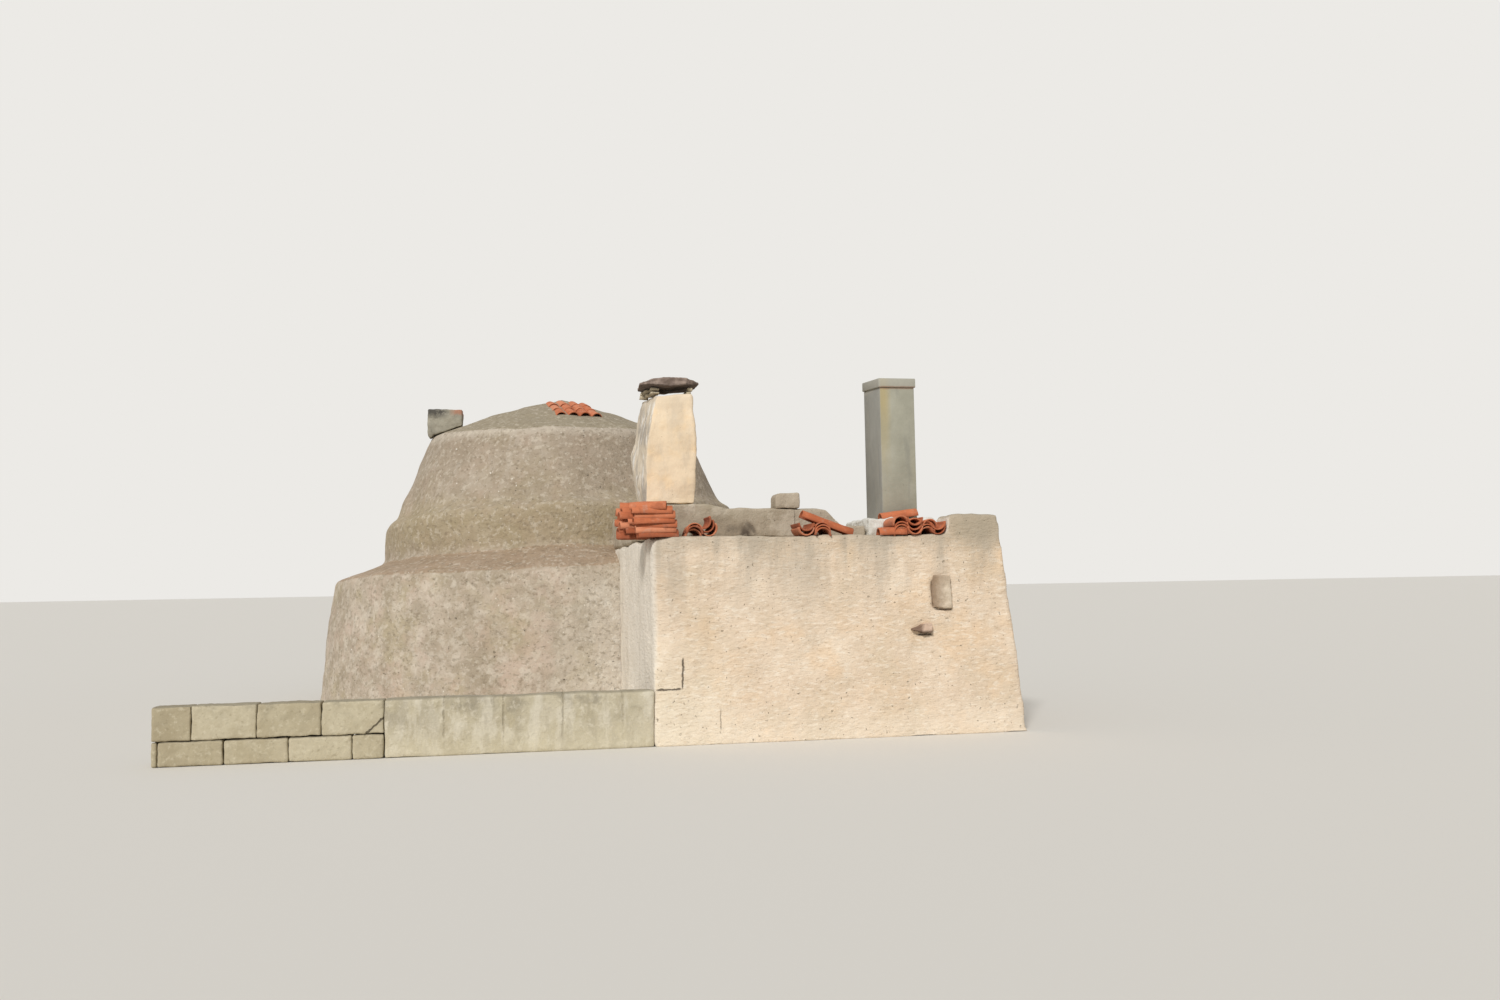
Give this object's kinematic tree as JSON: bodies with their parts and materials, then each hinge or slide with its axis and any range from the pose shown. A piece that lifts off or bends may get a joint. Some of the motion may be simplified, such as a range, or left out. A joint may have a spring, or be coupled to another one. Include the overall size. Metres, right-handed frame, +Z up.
{
  "type": "trullo house",
  "caption": "Rendered round dry-stone trullo with a corbelled dome, a low kitchen wing with battered walls, chimneys, stacked clay tiles and a low block wall.",
  "frame": {"origin": "centre of the round house on the lowest ground that its walls reach", "axes": "+Z up, -Y towards the kitchen's long front wall, +X along that wall to the right as seen from the front"},
  "size_m": [9.161, 10.7001, 4.74],
  "materials": {
    "grey_render": "rough weathered lime and cement render",
    "lime_render": "cream limewash on rough render",
    "cement_render": "grey cement render",
    "field_stone": "weathered limestone",
    "clay_tile": "unglazed terracotta"
  },
  "bodies": {
    "root": {"wall_front_left": "grey_render", "wall_front_right": "grey_render", "wall_back_left": "grey_render", "wall_back_right": "grey_render", "ledge": "grey_render", "drum": "grey_render", "upper_cone": "grey_render", "dome_lower_courses": "field_stone", "dome_middle_courses": "field_stone", "dome_upper_courses": "field_stone", "closing_slab": "field_stone", "roof_cone": "grey_render", "roof_tiles": "clay_tile", "rim_block": "lime_render", "room_floor": "field_stone", "door_threshold": "field_stone", "door_jamb_left": "field_stone", "door_jamb_right": "field_stone", "door_lintel": "field_stone", "kitchen_front_wall": "lime_render", "kitchen_left_wall": "lime_render", "kitchen_right_wall": "lime_render", "kitchen_back_wall_left": "lime_render", "kitchen_back_wall_right": "lime_render", "kitchen_lintel_stone": "lime_render", "kitchen_floor": "field_stone", "raised_roof": "cement_render", "flat_roof": "cement_render", "raised_corner": "lime_render", "roof_stub": "cement_render", "corner_stone": "lime_render", "large_wall_stone": "field_stone", "small_wall_stone": "field_stone", "broad_chimney": "lime_render", "chimney_props": "field_stone", "chimney_slab": "field_stone", "chimney_pad": "lime_render", "slim_chimney": "cement_render", "slim_chimney_band": "cement_render", "tile_pile_corner": "clay_tile", "tile_pile_leaning": "clay_tile", "tile_pile_sloping": "clay_tile", "tile_pile_arched": "clay_tile", "low_wall_rendered": "lime_render", "low_wall_blocks": "field_stone"}
  },
  "joints": []
}
